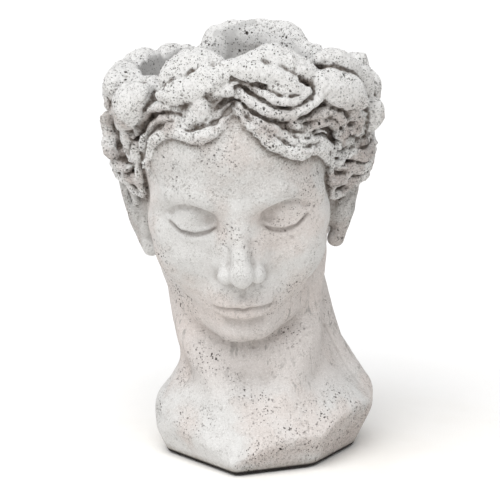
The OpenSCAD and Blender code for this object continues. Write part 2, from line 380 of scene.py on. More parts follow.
def model_mouth(clay):
    clay.cut(stroke(clay, [(0, -49), (0, -56)], 1.5, [1.6, 2.6]), 4, HEAD)
    upper = [(-21, -66.3), (-12, -63), (-4, -60.8), (0, -61.6), (4, -60.8), (12, -63), (21, -66.3)]
    lower = [(-19, -68.3), (-10, -70.6), (0, -71.4), (10, -70.6), (19, -68.3)]
    line = [(-23, -67), (-12, -66.2), (-4, -65.2), (0, -66.4), (4, -65.2), (12, -66.2), (23, -67)]
    top = stroke(clay, upper, -1.2, [1.2, 3, 3.9, 3.7, 3.9, 3, 1.2])
    bottom = stroke(clay, lower, -2, [1.2, 4.2, 5.2, 4.2, 1.2])
    clay.add(top, 3, HEAD)
    clay.add(bottom, 4, HEAD)
    line = on_face(clay, line, 0.2)
    clay.cut(bar(line, [0.7, 1.1, 1.2, 1.1, 1.2, 1.1, 0.7]), 2, HEAD)
    hollow = stroke(clay, [(-12, -79.5), (0, -80.5), (12, -79.5)], 1.5, [2.5, 3.5, 2.5])
    clay.cut(hollow, 8, HEAD)  # over the chin
    for side in (-1, 1):
        clay.swell((side * 24.5, -78, -65.5), (4, 6, 4.5), -1.6, HEAD)  # corners
        clay.swell((side * 25, -78, -50), (6, 9, 11), -0.8, HEAD)  # beside the mouth
    return [line]


def model_ears(clay):
    for side, out in ((-1, 2), (1, 5)):
        def at(x, y, z):
            return (side * (x + out), y, z)
        clay.add(ellipsoid(at(64, 10, -28), (10, 15, 28), turn=side * 14), 5, HEAD)
        rim = [at(69, -5, -20), at(74, -1, -3), at(78, 10, 3), at(80, 22, -5), at(78, 23, -24),
               at(72, 14, -42), at(62, 3, -59)]
        clay.add(bar(rim, [2.5, 3, 3.4, 3.4, 3.6, 4.6, 6]), 2, HEAD)
        clay.cut(ellipsoid(at(78, 8, -20), (7, 8, 17), turn=side * 14), 2.5, HEAD)
        clay.add(bar([at(75, 5, -8), at(77, 11, -18), at(73, 10, -30)], [1.6, 2, 2.4]), 1.5, HEAD)
        clay.add(bar([at(70, -3, -30), at(73, -2, -25)], [3, 3.2]), 2, HEAD)


# ---- neck, shoulders and cut base
# height, centre x and y, half width and half depth
NECK = np.array([
    (0, 18, -2, 88, 84), (20, 17, 1, 80, 73), (38, 16, 4, 75, 63), (50, 14, 6, 64, 55),
    (60, 12, 9, 56.5, 48), (72, 9, 10, 53, 46), (85, 6, 11, 51.5, 45), (105, 3, 14, 51, 44),
    (140, 0, 18, 53, 46), (175, 0, 20, 58, 48), (190, 0, 20, 40, 34),
], float)
# The base's corners on the floor, anticlockwise from the front one
BASE = np.array([(-4, -73), (49, -52), (80, 0), (74, 44), (38, 68), (-14, 66), (-48, 34),
                 (-52, -16)], float)
BASE_SLOPE = 0.45


def base_side(a, b, x, y, z):
    """How far a place lies outside the base's cut from corner a to corner b, level with it."""
    out = np.array([b[1] - a[1], a[0] - b[0]]) / np.linalg.norm(b - a)
    return out[0] * (x - a[0]) + out[1] * (y - a[1]) - BASE_SLOPE * z


def curve_through(xs, table, column):
    """A smooth curve through a table's column: cubic Hermite pieces."""
    at, v = table[:, 0], table[:, column]
    slope = np.gradient(v, at)
    i = np.clip(np.searchsorted(at, xs) - 1, 0, len(at) - 2)
    w = at[i + 1] - at[i]
    t = np.clip((xs - at[i]) / w, 0, 1)
    return (
        (2 * t ** 3 - 3 * t ** 2 + 1) * v[i] + (t ** 3 - 2 * t ** 2 + t) * w * slope[i]
        + (3 * t ** 2 - 2 * t ** 3) * v[i + 1] + (t ** 3 - t ** 2) * w * slope[i + 1]
    )


def model_neck(clay):
    top = NECK[-1, 0]

    def distance(x, y, z):
        level = np.minimum(z, top)
        cx, cy, a, b = (curve_through(level, NECK, i) for i in range(1, 5))
        side = (np.sqrt(((x - cx) / a) ** 2 + ((y - cy) / b) ** 2) - 1) * np.minimum(a, b)
        return np.maximum(side * 0.8, z - top).astype(np.float32)

    clay.add(((10, 0, 90), (100, 100, 110), distance), 7)
    # cords of the neck and the slope of the shoulders
    clay.add(bar([(-46, 18, 138), (-34, -16, 84), (-6, -46, 42)], [9, 8.5, 8]), 14)
    clay.add(bar([(48, 10, 138), (44, -14, 88), (28, -44, 44)], [9, 9, 8]), 14)
    clay.add(bar([(44, 34, 120), (60, 22, 72), (82, 14, 44)], [12, 11, 8]), 16)
    crease = on_face(clay, [(56, 96), (60, 86), (69, 68), (84, 46)], -0.2, pose=ROW)
    clay.cut(bar(crease, [0.5, 1, 1, 0.5]), 2)
    clay.swell((10, -42, 74), (10, 16, 22), -2.0)
    clay.swell((12, -66, 34), (22, 20, 12), 2.0)


def cut_base(clay):
    """The flat cuts round the base, each leaning outwards as it rises, and the flat underside."""
    part, (x, y, z) = clay.between(clay.low, np.array([200, 200, 90]))
    for a, b in zip(BASE, np.roll(BASE, -1, 0)):
        clay.keep(part, base_side(a, b, x, y, z) / math.hypot(1, BASE_SLOPE), 3.5)
    clay.keep(part, BASE_Z - z, 1.2)


# ---- the hair's ground
PARTING = -94.0
KNOT_TURN, KNOT_HALF_TURN = 81.0, 27.0
RIM_Z, FRONT_RISE, BACK_RISE, KNOT_RISE = 264, 18, 6, 20
# where the rim dips in front of the left ear, how far and over what turn
DIP_TURN, DIP, DIP_SPREAD = -130, 14, 8
# The hair's own masses, in the row's frame, and then the skull's, as (centre, radii, frame)
HAIR_MASSES = [
    ((0, 2, 262), (83, 77, 80), ROW),
    ((0, 20, 212), (85, 62, 46), ROW),
    ((2, 42, 152), (55, 33, 50), ROW),
    ((0, 4, 28), (66, 82, 75), HEAD),
    ((0, -30, 28), (58, 52, 52), HEAD),
]


def turn_apart(a, b):
    """How far turn a lies from turn b, between -180 and 180 degrees."""
    return (a - b + 180) % 360 - 180


def ground(turn, z):
    """The hair's ground at a turn and height: how far it lies from the axis."""
    o = np.array([AXIS[0], AXIS[1], z])
    d = np.array([math.cos(math.radians(turn)), math.sin(math.radians(turn)), 0.0])
    far = [50.0]
    for centre, radii, pose in HAIR_MASSES:
        p = (pose.turn.T @ (o - pose.origin) - centre) / radii
        q = (pose.turn.T @ d) / radii
        h = (p @ q) ** 2 - (q @ q) * (p @ p - 1)
        if h > 0:
            far.append((math.sqrt(h) - p @ q) / (q @ q))
    return max(far)


def on_hair(turn, z, lift=0.0):
    return round_axis(turn, ground(turn, z) + lift, z)


def outward_at(turn, z):
    """The way out of the hair's ground, tipped up near the rim."""
    east = on_hair(turn + 2, z) - on_hair(turn - 2, z)
    up = on_hair(turn, z + 3) - on_hair(turn, z - 3)
    out = np.cross(east, up)
    out[2] = max(out[2], -0.4 * np.linalg.norm(out)) + 0.35 * np.linalg.norm(out) * (z > 262)
    return unit(out)


def through(points, steps):
    """A smooth curve through points: Catmull-Rom, with that many steps to a span."""
    p = np.array(points, float)
    p = np.vstack([2 * p[0] - p[1], p, 2 * p[-1] - p[-2]])
    curve = []
    for i in range(1, len(p) - 2):
        for t in np.arange(steps) / steps:
            curve.append(0.5 * (
                2 * p[i] + (p[i + 1] - p[i - 1]) * t
                + (2 * p[i - 1] - 5 * p[i] + 4 * p[i + 1] - p[i + 2]) * t ** 2
                + (3 * p[i] - p[i - 1] - 3 * p[i + 1] + p[i + 2]) * t ** 3
            ))
    return np.array(curve + [p[-2]])


def lock(clay, path, wide, thick, lift, root, tip, strands=0, groove=0.0, k=1.0, crest=2.0,
         trench=0.0):
    """A lock of hair along a path of (turn, height). Its ends narrow to root and tip."""
    flat = through(path, 4)
    t = np.linspace(0, 1, len(flat))
    shape = (root + (1 - root) * np.sin(np.minimum(t / 0.4, 1) * math.pi / 2)) * (
        tip + (1 - tip) * np.sin(np.minimum((1 - t) / 0.5, 1) * math.pi / 2))
    points = np.array([on_hair(a, z, lift) for a, z in flat])
    outward = np.array([outward_at(a, z) for a, z in flat])
    clay.ribbon(points, outward, wide * shape, thick * (0.35 + 0.65 * shape), strands, groove, k,
                crest, trench)


def rim_height(turn):
    knot = 1 / (1 + (turn_apart(turn, KNOT_TURN) / KNOT_HALF_TURN) ** 6)
    front = np.maximum(0, -np.sin(np.radians(turn))) ** 1.5
    back = np.maximum(0, np.sin(np.radians(turn)))
    dip = np.exp(-(turn_apart(turn, DIP_TURN) / DIP_SPREAD) ** 2)
    return RIM_Z + FRONT_RISE * front + BACK_RISE * back + KNOT_RISE * knot - DIP * dip


def trim_rim(clay):
    part, (x, y, z) = clay.between(np.array([-200, -200, 240]), np.array([200, 200, 400]))
    turn = np.degrees(np.arctan2(y - AXIS[1], x - AXIS[0]))
    clay.keep(part, 0.9 * (z - rim_height(turn)), 6)


# ---- locks over the face
def model_waves(clay):
    """Waves that leave the parting and follow the hairline down to the temples."""
    left = [
        [(-95, 250), (-99, 243), (-105, 238), (-111, 236), (-118, 237), (-125, 236), (-131, 231),
         (-136, 222), (-141, 210)],
        [(-95, 258), (-101, 251), (-106, 245), (-112, 244), (-119, 247), (-126, 246), (-133, 242),
         (-139, 233), (-145, 221)],
        [(-98, 262), (-104, 256), (-111, 251), (-118, 254), (-125, 255), (-133, 252), (-141, 243),
         (-149, 232)],
    ]
    wave = dict(strands=2, groove=0.4, tip=0.4, k=0.5)
    for path in left:
        lock(clay, path, 4.9, 6.6, lift=3, root=0.5, **wave)
    right = [
        [(-92, 252), (-86, 243), (-80, 236), (-72, 228), (-63, 224), (-54, 224), (-45, 220),
         (-37, 212), (-28, 206)],
        [(-90.5, 256), (-86, 249), (-80, 243), (-73, 237), (-66, 231), (-57, 231), (-48, 231),
         (-40, 223), (-31, 216)],
        [(-86, 256), (-80, 249), (-73, 245), (-66, 241), (-59, 240), (-52, 243), (-45, 242),
         (-37, 233), (-28, 226)],
        [(-69, 249), (-62, 247), (-55, 249), (-48, 250), (-41, 245), (-33, 236), (-25, 231)],
    ]
    for path in right:
        lock(clay, path, 4.9, 6.8, lift=3.2, root=0.7, **wave)
    # thin strands between the waves
    thin = [
        [(-104, 258), (-110, 254), (-116, 255), (-123, 257)],
        [(-108, 240), (-116, 242), (-123, 241), (-129, 237)],
        [(-76, 242), (-68, 237), (-60, 235), (-51, 237), (-43, 231)],
        [(-60, 228), (-51, 227), (-43, 226), (-36, 218)],
    ]
    for path in thin:
        lock(clay, path, 2.4, 3, lift=6, root=0.3, tip=0.2, k=0.8)


def model_wreath(clay):
    """The fat leaves over the waves, and the spiral curl right of the parting."""
    behind = [
        ([(-110, 264), (-102, 268), (-94, 270), (-84, 268)], 9, 6, 4, 0.6, 0.6),
        ([(-102, 281), (-108, 283), (-115, 282), (-121, 277), (-125, 270)], 11.5, 8, 3, 0.7, 0.6),
        ([(-90, 284), (-82, 287), (-74, 287), (-66, 283), (-59, 276), (-51, 271)],
         10.5, 8, 3.5, 0.5, 0.35),
        ([(-50, 285), (-42, 284), (-33, 278), (-24, 269)], 9, 8, 3, 0.5, 0.4),
        ([(-26, 273), (-19, 267), (-14, 257)], 8, 8, 4, 0.6, 0.5),
        ([(-168, 240), (-173, 231), (-172, 222), (-169, 214)], 5.5, 7, 14, 0.6, 0.5),
        ([(-176, 212), (-169, 204), (-162, 206)], 4.5, 5, 8, 0.6, 0.5),
        ([(-36, 250), (-27, 244), (-20, 235)], 7, 7, 4, 0.6, 0.5),
        ([(-14, 248), (-9, 240), (-7, 231)], 8, 7.5, 12, 0.6, 0.55),
    ]
    front = [
        ([(-153, 237), (-158, 229), (-160, 222)], 6, 6.5, 6, 0.7, 0.5),
        ([(-139, 260), (-144, 254), (-150, 247), (-155, 239)], 13, 10, 8, 0.7, 0.6),
        ([(-94.5, 277), (-100, 277), (-107, 273), (-114, 268), (-121, 263), (-126, 262)],
         10, 7.5, 7.5, 0.25, 0.45),
        ([(-99, 283), (-93, 282), (-87, 280), (-79, 278), (-72, 274), (-66, 268), (-62, 265)],
         8, 7.5, 8, 0.5, 0.3),
        ([(-54, 271), (-46, 267), (-38, 262), (-30, 254)], 12.5, 9.5, 8, 0.65, 0.6),
    ]
    for leaf in behind + front:
        lock(clay, *leaf, crest=1.7, k=0.8)
    # the outer left leaves run back along the rim
    for path, wide, tip in (
        ([(110, 265), (122, 268), (134, 267), (146, 262)], 12, 0.45),
        ([(136, 266), (148, 267), (160, 262), (170, 256)], 12.5, 0.45),
        ([(158, 263), (170, 259), (-178, 252), (-168, 243)], 14, 0.55),
    ):
        lock(clay, path, wide, 10, lift=4, root=0.55, tip=tip, k=1.2, crest=1.8)
    # the spiral: a wide outer turn, an inner one and its heart, over a low ground
    lock(clay, [(-88, 262), (-76, 263), (-62, 263)], 10, 5, lift=2, root=0.6, tip=0.7)
    lock(clay, [(-90, 266), (-85, 259), (-79, 254), (-71, 251), (-63, 254), (-57, 260), (-56, 268)],
         5.4, 7.5, lift=6.5, root=0.6, tip=0.6, k=0.6, crest=1.7, trench=0.5)
    lock(clay, [(-84, 269), (-80, 264), (-74, 260), (-67, 260), (-63, 264), (-64, 269)], 3.4, 6,
         lift=8, root=0.4, tip=0.4, k=0.6)
    lock(clay, [(-78, 269), (-72, 266), (-67, 267)], 4.4, 6, lift=6.5, root=0.7, tip=0.6)


def model_side_locks(clay):
    """Hair swept back from the temples and over the ears, and up from the nape."""
    for side in (-1, 1):
        # waves that rise as they run back, one under the other
        for i in range(9):
            start = 54 + 3.5 * i
            path = [
                (start + 11 * j, 240 - 9 * i + 0.11 * i * j * j + 3.5 * math.sin(1.5 * j + 0.4 * i))
                for j in range(9)
            ]
            path = [(PARTING + side * a, min(z, 260)) for a, z in path]
            lock(clay, path, 5.8, 6.5, lift=3 + (i % 2), strands=3, groove=0.8, root=0.7, tip=0.4,
                 k=0.6)
        # curls along the temple's edge
        for start, high in ((56, 222), (62, 208), (69, 196)):
            path = [(start, high), (start + 5, high - 9), (start + 13, high - 10),
                    (start + 17, high - 2)]
            path = [(PARTING + side * a, z) for a, z in path]
            lock(clay, path, 4.6, 6, lift=5, strands=2, groove=0.5, root=0.6, tip=0.6, k=0.6)
    # locks that rise from the nape to the knot
    for i in range(13):
        a = 10.5 * (i - 6)
        low = 116 + 0.5 * abs(a) + 5 * (i % 2)
        way = 1 if i % 3 else -1
        path = [(KNOT_TURN + share * a + way * sway, low + rise * (250 - low))
                for share, sway, rise in ((1, 0, 0), (0.92, 4, 0.22), (0.8, -3, 0.48),
                                          (0.62, 3, 0.75), (0.45, 0, 1))]
        lock(clay, path, 6.5, 6.5, lift=2 + 1.5 * (i % 2), strands=3, groove=1.0, root=0.35,
             tip=0.5, k=0.6)


def model_rim_locks(clay):
    """Overlapping leaves round the sides and back, the lower row first."""
    for height, lift, first, count in ((247, 3, -2, 9), (262, 2.5, 9, 8)):
        for i in range(count):
            turn = first + i * 19.5
            lean = 9 if i % 2 else 12
            path = [(turn, height + lean), (turn + 9, height + 3), (turn + 17, height - lean)]
            lock(clay, path, 11, 9, lift=lift, strands=2 * (i % 2), groove=0.6, root=0.55,
                 tip=0.45, k=1.2, crest=1.8)


def model_knot(clay):
    centre = on_hair(KNOT_TURN, 276, 1)
    clay.add(ellipsoid(centre, (30, 12, 19), turn=KNOT_TURN - 90), 5)
    for side in (-1, 1):
        lock(clay, [(KNOT_TURN + side * a, z) for a, z in
                    ((20, 262), (21, 274), (18, 284), (12, 288), (5, 285))], 8, 8, lift=10,
             strands=3, groove=1.1, root=0.6, tip=0.5, k=0.8)
    lock(clay, [(KNOT_TURN, z) for z in (252, 266, 282)], 9, 8, lift=13, strands=3, groove=1.1,
         root=0.5, tip=0.7, k=0.8)


# ---- the cavity
CAVITY_TOP = 268
# share of the way up from the floor to the top, and radius there
CAVITY = np.array([(0, 15), (0.025, 21), (0.25, 29.8), (0.45, 39.1), (0.6, 47.5), (0.72, 56.8),
                   (0.86, 65.1), (1, 70), (1.17, 72)])


def cavity_radius(z):
    return np.interp(z, FLOOR_Z + (CAVITY_TOP - FLOOR_Z) * CAVITY[:, 0], CAVITY[:, 1])


def cut_cavity(clay):
    part, (x, y, z) = clay.between(np.array([-90, -80, FLOOR_Z - 6]), np.array([90, 92, 400]))
    r = from_axis(x, y)
    inside = np.maximum(r - cavity_radius(z), (FLOOR_Z - z) + 0 * r) * 0.96
    clay.keep(part, -inside, 2.5)
    clay.cut(bar([(*AXIS, -8), (*AXIS, FLOOR_Z + 4)], DRAIN_R), 0.8)


# ---- pores and mesh
def pit(clay):
    """Air pores that opened at the surface, most of them in the wreath, some low at the right."""
    points, _ = clay.mesh()
    x, y, z = points.T
    points = points[(from_axis(x, y) > cavity_radius(z) + 3) & (z > 8)]
    x, y, z = points.T
    low_right = (z < 45) & (x > 20)
    weight = 0.08 + (z > 250) + low_right * 0.4
    chosen = points[rng.choice(len(points), 800, replace=False, p=weight / weight.sum())]
    for centre, r in zip(chosen, rng.uniform(0.6, 1.4, len(chosen))):
        clay.cut(ellipsoid(centre, (r, r, r)), 0.5)


def blurred(field, cells):
    """The mean of a field over a cube that reaches that many cells out."""
    width = 2 * cells + 1
    for axis in range(3):
        line = np.moveaxis(field, axis, 0)
        total = np.pad(line, ((cells + 1, cells), (0, 0), (0, 0)), mode="edge").cumsum(0)
        field = np.moveaxis((total[width:] - total[:-width]) / width, 0, axis)
    return field


def crevices(clay, points, reach):
    """How hollow the surface is at each point: the share of stone round it, over a half."""
    solid = np.clip(0.5 - clay.d[::2, ::2, ::2] / (2 * clay.step), 0, 1)
    cells = max(1, round(reach / (2 * clay.step)))
    for _ in range(2):
        solid = blurred(solid, cells)
    return np.clip((clay.sample(solid, points, 2) - 0.5) * 4, -1, 1)


def linked(name, data):
    """A new object in the scene."""
    made = bpy.data.objects.new(name, data)
    bpy.context.scene.collection.objects.link(made)
    return made


def to_object(name, points, faces, **values):
    """A mesh object in metres from drawn millimetres, with values kept on its vertices."""
    mesh = bpy.data.meshes.new(name)
    mesh.vertices.add(len(points))
    mesh.vertices.foreach_set("co", (points * UNIT).astype(np.float32).ravel())
    mesh.loops.add(faces.size)
    mesh.loops.foreach_set("vertex_index", faces.astype(np.int32).ravel())
    mesh.polygons.add(len(faces))
    mesh.polygons.foreach_set("loop_start", np.arange(0, faces.size, faces.shape[1], dtype=np.int32))
    mesh.polygons.foreach_set("use_smooth", np.ones(len(faces), bool))
    mesh.update(calc_edges=True)
    mesh.validate()
    for key, value in values.items():
        mesh.attributes.new(key, "FLOAT", "POINT").data.foreach_set(
            "value", value.astype(np.float32))
    return linked(name, mesh)


def model_knot_front(clay):
    """The knot's lobes that lean in over the cavity's rim, either side of its smooth middle."""
    for turn, r, z, radii in ((104, 79, 275, (10, 11, 16)), (66, 76, 276, (17, 10, 15)),
                              (82, 78, 284, (24, 10, 10)), (82, 80, 270, (30, 8, 12))):
        clay.add(ellipsoid(round_axis(turn, r, z), radii, turn=turn - 90), 6)


def painted_shade_near_lines(points, lines):
    """Where shade is painted: 1 on the lash lines and between the lips, fading to 0 about 2 away."""
    marks = np.vstack([through([HEAD.to_row(p) for p in line], 8) for line in lines])
    low, high = marks.min(0) - 4, marks.max(0) + 4
    close = np.flatnonzero(((points > low) & (points < high)).all(1))
    gap = np.full(len(close), 9.0)
    for mark in marks:
        gap = np.minimum(gap, np.linalg.norm(points[close] - mark, axis=1))
    near = np.zeros(len(points))
    near[close] = np.exp(-(gap / 1.5) ** 2)
    return near


def rough_cut(points):
    """Where the stone was sawn and never painted: the cuts right of the base's front corner."""
    rough = np.zeros(len(points))
    for a, b in zip(BASE[:3], BASE[1:4]):
        rough = np.maximum(rough, np.clip(base_side(a, b, *points.T) / 2 + 1.4, 0, 1))
    return rough


def hair_share(points, from_hair):
    """1 in the hair and on the knot, less on the ears, and fading out over the skin beside it."""
    x, y, z = points.T
    return np.max([
        np.clip(1 - from_hair / 2, 0, 1),
        np.clip(0.5 - from_hair / 28, 0, 1),
        np.clip((np.abs(x + 3) - 67) / 4, 0, 0.65) * (z > 128),
        np.clip((z - 262) / 4, 0, 1) * np.clip((y - 30) / 20, 0, 1),
    ], axis=0)


def cored_share(points):
    """1 where the mould's core left the wall smooth. Of the knot's front, only a patch is."""
    x, y, z = points.T
    knot_front = (z > 264) & (y > 0) & ((x < -20) | (x > 10)) & (np.abs(x - 8) < 46)
    on_wall = np.clip(2 - np.abs(cavity_radius(z) - from_axis(x, y)), 0, 1)
    return on_wall * (z > FLOOR_Z - 1) * ~knot_front


def add_hair(head):
    """Models the hair by itself, roughens it and sets it on the head."""
    hair = Clay(head.low, head.low + head.step * (head.count - 1), head.step)
    for centre, radii, _ in HAIR_MASSES[:3]:
        hair.add(ellipsoid(centre, radii), 5)
    for model in (trim_rim, model_side_locks, model_rim_locks, model_knot, model_waves,
                  model_wreath):
        model(hair)
    for cell, height in ((14, 1.4), (6, 0.9), (2.7, 0.6)):
        hair.noise(cell, height)
    head.merge(hair, 1.5)
    return hair


def model_cast_head():
    clay = Clay((-122, -112, BASE_Z - 4), (122, 122, 312), STEP)
    model_skull(clay)
    model_neck(clay)
    under_jaw(clay)
    trim_rim(clay)
    model_ears(clay)
    lines = model_eyes(clay)
    model_nose(clay)
    lines += model_mouth(clay)
    clay.noise(7, 0.2)
    clay.noise(2.6, 0.1)
    hair = add_hair(clay)
    cut_base(clay)
    cut_cavity(clay)
    model_knot_front(clay)
    pit(clay)
    points, faces = clay.mesh()
    return to_object(
        "stone_head", points, faces,
        crevice=crevices(clay, points, 3.0),
        hollow=crevices(clay, points, 9.0),
        hair=hair_share(points, clay.sample(hair.d, points)),
        cored=cored_share(points),
        rough=rough_cut(points),
        # the mask of the painted shade along the lash lines and between the lips
        line=painted_shade_near_lines(points, lines),
    )


# ---- materials
class Paint:
    """A node material, built with short calls."""

    def __init__(self, name, colour, roughness, specular):
        self.colour = colour
        self.material = bpy.data.materials.new(name)
        self.material.use_nodes = True
        self.tree = self.material.node_tree
        self.shader = self.tree.nodes["Principled BSDF"]
        self.shader.inputs["Specular IOR Level"].default_value = specular
        self.shader.inputs["Roughness"].default_value = roughness
        self.place = self.node("ShaderNodeTexCoord").outputs["Object"]

    def feed(self, socket, value):
        """Links an output to the socket, or sets the socket's own value."""
        if isinstance(value, bpy.types.NodeSocket):
            self.tree.links.new(value, socket)
        else:
            socket.default_value = value

    def node(self, kind, settings=None, **inputs):
        made = self.tree.nodes.new(kind)
        for key, value in (settings or {}).items():
            setattr(made, key, value)
        for key, value in inputs.items():
            self.feed(made.inputs[key], value)
        return made

    def noise(self, scale, detail=3.0, roughness=0.55, stretch=None):
        place = self.place
        if stretch:
            place = self.node("ShaderNodeMapping", Vector=place, Scale=stretch).outputs["Vector"]
        return self.node("ShaderNodeTexNoise", Vector=place, Scale=scale, Detail=detail,
                         Roughness=roughness).outputs["Fac"]

    def attribute(self, name):
        return self.node("ShaderNodeAttribute", {"attribute_name": name}).outputs["Fac"]

    def ramp(self, value, low, high, out_low=0.0, out_high=1.0):
        """A smooth step of value between low and high."""
        made = self.node("ShaderNodeMapRange", {"interpolation_type": "SMOOTHSTEP"}, Value=value)
        for i, number in enumerate((low, high, out_low, out_high)):
            made.inputs[i + 1].default_value = number
        return made.outputs["Result"]

    def math(self, operation, a, b=0.0):
        made = self.node("ShaderNodeMath", {"operation": operation})
        for socket, value in zip(made.inputs, (a, b)):
            self.feed(socket, value)
        return made.outputs["Value"]

    def times(self, *factors):
        product = factors[0]
        for factor in factors[1:]:
            product = self.math("MULTIPLY", product, factor)
        return product

    def mix(self, factor, a, b):
        made = self.node("ShaderNodeMix", {"data_type": "RGBA"})
        for index, value in ((0, factor), (6, a), (7, b)):
            self.feed(made.inputs[index], (*value, 1.0) if isinstance(value, tuple) else value)
        return made.outputs[2]

    def coat(self, share, colour):
        """Paints over the colour so far, by that share."""
        self.colour = self.mix(share, self.colour, colour)

    def pores(self, scale, size, share):
        """Round spots: 1 inside a pore, 0 elsewhere. Only a share of the cells holds one."""
        wobble = self.node("ShaderNodeTexNoise", Vector=self.place, Scale=scale, Detail=2.0)
        shift = self.node("ShaderNodeVectorMath", {"operation": "SCALE"},
                          Vector=wobble.outputs["Color"], Scale=0.9 / scale)
        place = self.node("ShaderNodeVectorMath", {"operation": "ADD"})
        self.feed(place.inputs[0], self.place)
        self.feed(place.inputs[1], shift.outputs["Vector"])
        cells = self.node("ShaderNodeTexVoronoi", {"feature": "F1"},
                          Vector=place.outputs["Vector"], Scale=scale, Randomness=1.0)
        spot = self.ramp(cells.outputs["Distance"], size * 1.25, size * 0.8)
        chance = self.node("ShaderNodeSeparateColor", Color=cells.outputs["Color"]).outputs["Red"]
        return self.times(spot, self.ramp(chance, share + 0.02, share - 0.02))

    def finish(self, height, depth, roughness=None):
        bump = self.node("ShaderNodeBump", Height=height, Distance=depth, Strength=1.0)
        self.feed(self.shader.inputs["Normal"], bump.outputs["Normal"])
        self.feed(self.shader.inputs["Base Color"], self.colour)
        if roughness is not None:
            self.feed(self.shader.inputs["Roughness"], roughness)
        return self.material


def whitewash(p, hair, hollow, mottle, z):
    """Chalky over the skin, pinker down the neck, whitest on the hair's tops, partly as a painted
    highlight.
    """
    p.coat(p.ramp(mottle, 0.42, 0.70), (0.53, 0.525, 0.515))
    neck = p.times(p.ramp(z, 0.04, 0.07), p.ramp(z, 0.14, 0.11), 0.6)
    p.coat(neck, (0.57, 0.515, 0.49))
    warm = p.times(p.ramp(p.noise(19, 4), 0.45, 0.62), 0.7)
    p.coat(warm, (0.64, 0.58, 0.55))
    p.coat(p.ramp(hair, 0.02, 0.5, 0, 0.45), (0.56, 0.55, 0.53))
    # partly painted highlight: the whitest coat goes on the hair's raised tops and fades out towards
    # its hollows
    top = p.times(p.ramp(hair, 0.62, 0.85), p.ramp(hollow, 0.15, -0.12), 0.92)
    p.coat(top, (0.97, 0.965, 0.955))


def wear_and_hollow_shade(p, hair, coarse, hollow, fine, z):
    """Grey grain that shows through: most in the hair, least on its tops, and thickest in its
    hollows as painted shade.
    """
    # under the wreath the whitewash has worn off the hair, and brown stains show
    under = p.times(coarse, p.ramp(z, 0.266, 0.236))
    brown = p.times(under, p.ramp(p.noise(34, 4), 0.44, 0.60, 0, 0.75))
    p.coat(brown, (0.52, 0.445, 0.41))
    # partly painted shade: the dark grain gets denser in the hair's hollows than on its tops; worn
    # patches and the hair under the wreath add real wear
    low = p.times(coarse, p.ramp(hollow, -0.15, 0.2, 0.2, 1.0))
    low = p.math("ADD", low, p.times(under, 0.4))
    worn = p.times(p.ramp(p.noise(75, 6, 0.75), 0.47, 0.62), p.math("ADD", 0.4, p.times(hair, 0.3)))
    amount = p.math("ADD", worn, p.times(low, 0.85))
    speckle = p.times(p.ramp(fine, 0.53, 0.57), p.math("ADD", amount, 0.18))
    p.coat(speckle, (0.18, 0.165, 0.15))
    chalk = p.times(p.ramp(p.noise(900, 3, 0.8), 0.54, 0.62), p.math("ADD", 0.3, p.times(hair, 0.4)))
    p.coat(chalk, (0.92, 0.915, 0.905))


def dirt_and_painted_shade(p, coarse, hollow, mottle, z):
    """Runs down the neck, dirt and painted shade in the hair's hollows, painted shade along the lash
    lines and lips, and a grimy edge at the foot over a painted shadow.
    """
    runs = p.times(p.ramp(p.noise(260, 3, 0.6, stretch=(1, 1, 0.07)), 0.57, 0.66),
                   p.ramp(z, 0.045, 0.06), p.ramp(z, 0.13, 0.1),
                   p.ramp(mottle, 0.45, 0.55, 0.25, 0.85))
    p.coat(runs, (0.34, 0.325, 0.31))
    ragged = p.ramp(p.noise(260, 5, 0.75), 0.32, 0.62, 0.35, 1.0)
    patchy = p.times(ragged, p.ramp(coarse, 0, 1, 0.25, 1.0))
    # dirt and painted shade in the hollows: brown-grey in the broad ones, near black in the narrow
    # crevices, in ragged patches
    soft = p.times(p.ramp(hollow, 0.0, 0.6), 0.75, patchy)
    p.coat(soft, (0.36, 0.305, 0.275))
    deep = p.times(p.ramp(p.attribute("crevice"), 0.06, 0.45), patchy)
    p.coat(deep, (0.15, 0.125, 0.105))
    p.coat(p.times(p.attribute("cored"), 0.8), (0.66, 0.655, 0.645))
    # painted shade along the lash lines and between the lips
    p.coat(p.times(p.attribute("line"), 0.75), (0.15, 0.125, 0.11))
    # a ragged band darker towards the bottom, grime and painted shade near the floor, and under it a
    # near black painted contact shadow along the foot
    p.coat(p.times(p.ramp(z, 0.009, 0.003), ragged), (0.36, 0.335, 0.30))
    p.coat(p.ramp(z, 0.0046, 0.0030), (0.03, 0.026, 0.024))


def air_pores(p, coarse):
    """Pinpricks in patches on the skin, and larger holes in the hair."""
    patches = p.times(p.ramp(p.noise(26, 4), 0.46, 0.62), 0.9)
    swarm = p.times(coarse, p.ramp(p.noise(60, 4), 0.42, 0.58, 0.4, 1.0))
    crowd = p.math("MINIMUM", p.math("ADD", patches, swarm), 1.0)
    small = p.times(p.pores(820, 0.33, 0.25), crowd)
    medium = p.times(p.pores(360, 0.27, 0.16), crowd)
    large = p.times(p.pores(170, 0.20, 0.12), swarm)
    return p.math("MAXIMUM", p.math("MAXIMUM", small, medium), large)


